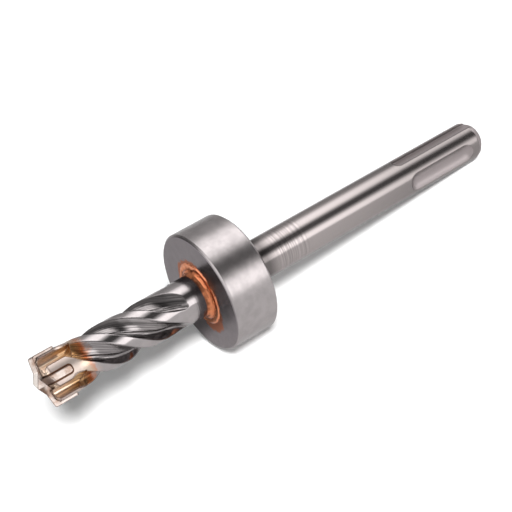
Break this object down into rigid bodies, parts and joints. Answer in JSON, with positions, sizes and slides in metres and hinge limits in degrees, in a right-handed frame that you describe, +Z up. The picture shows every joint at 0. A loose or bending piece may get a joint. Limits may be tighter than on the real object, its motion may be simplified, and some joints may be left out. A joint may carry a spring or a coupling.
{
  "type": "masonry drill bit",
  "caption": "Short hammer drill bit for masonry: crossed carbide cutting edges, helical dust flutes, a brazed depth stop collar and a plain shank with drive grooves.",
  "frame": {"origin": "on the floor under the middle of the bit as it lies, bottom centre of its bounding box", "axes": "+Z up with the bit lying on the rear rim of its collar and on both edges of the drive groove underneath; +X along the bit toward the shank end, the axis sloping down 7.8 degrees toward +X"},
  "size_m": [0.129, 0.0294, 0.0305],
  "materials": {
    "body_steel": "satin",
    "collar_steel": "satin",
    "collar_copper": "satin",
    "carbide": "satin",
    "plate_copper": "satin"
  },
  "bodies": {
    "root": {"drill_body": "body_steel", "stop_collar": "collar_steel", "collar_braze": "collar_copper", "main_cutting_plate": "carbide", "side_cutting_plate_1": "carbide", "side_cutting_plate_2": "carbide", "main_plate_braze": "plate_copper", "side_plate_braze_1": "plate_copper", "side_plate_braze_2": "plate_copper"}
  },
  "joints": []
}
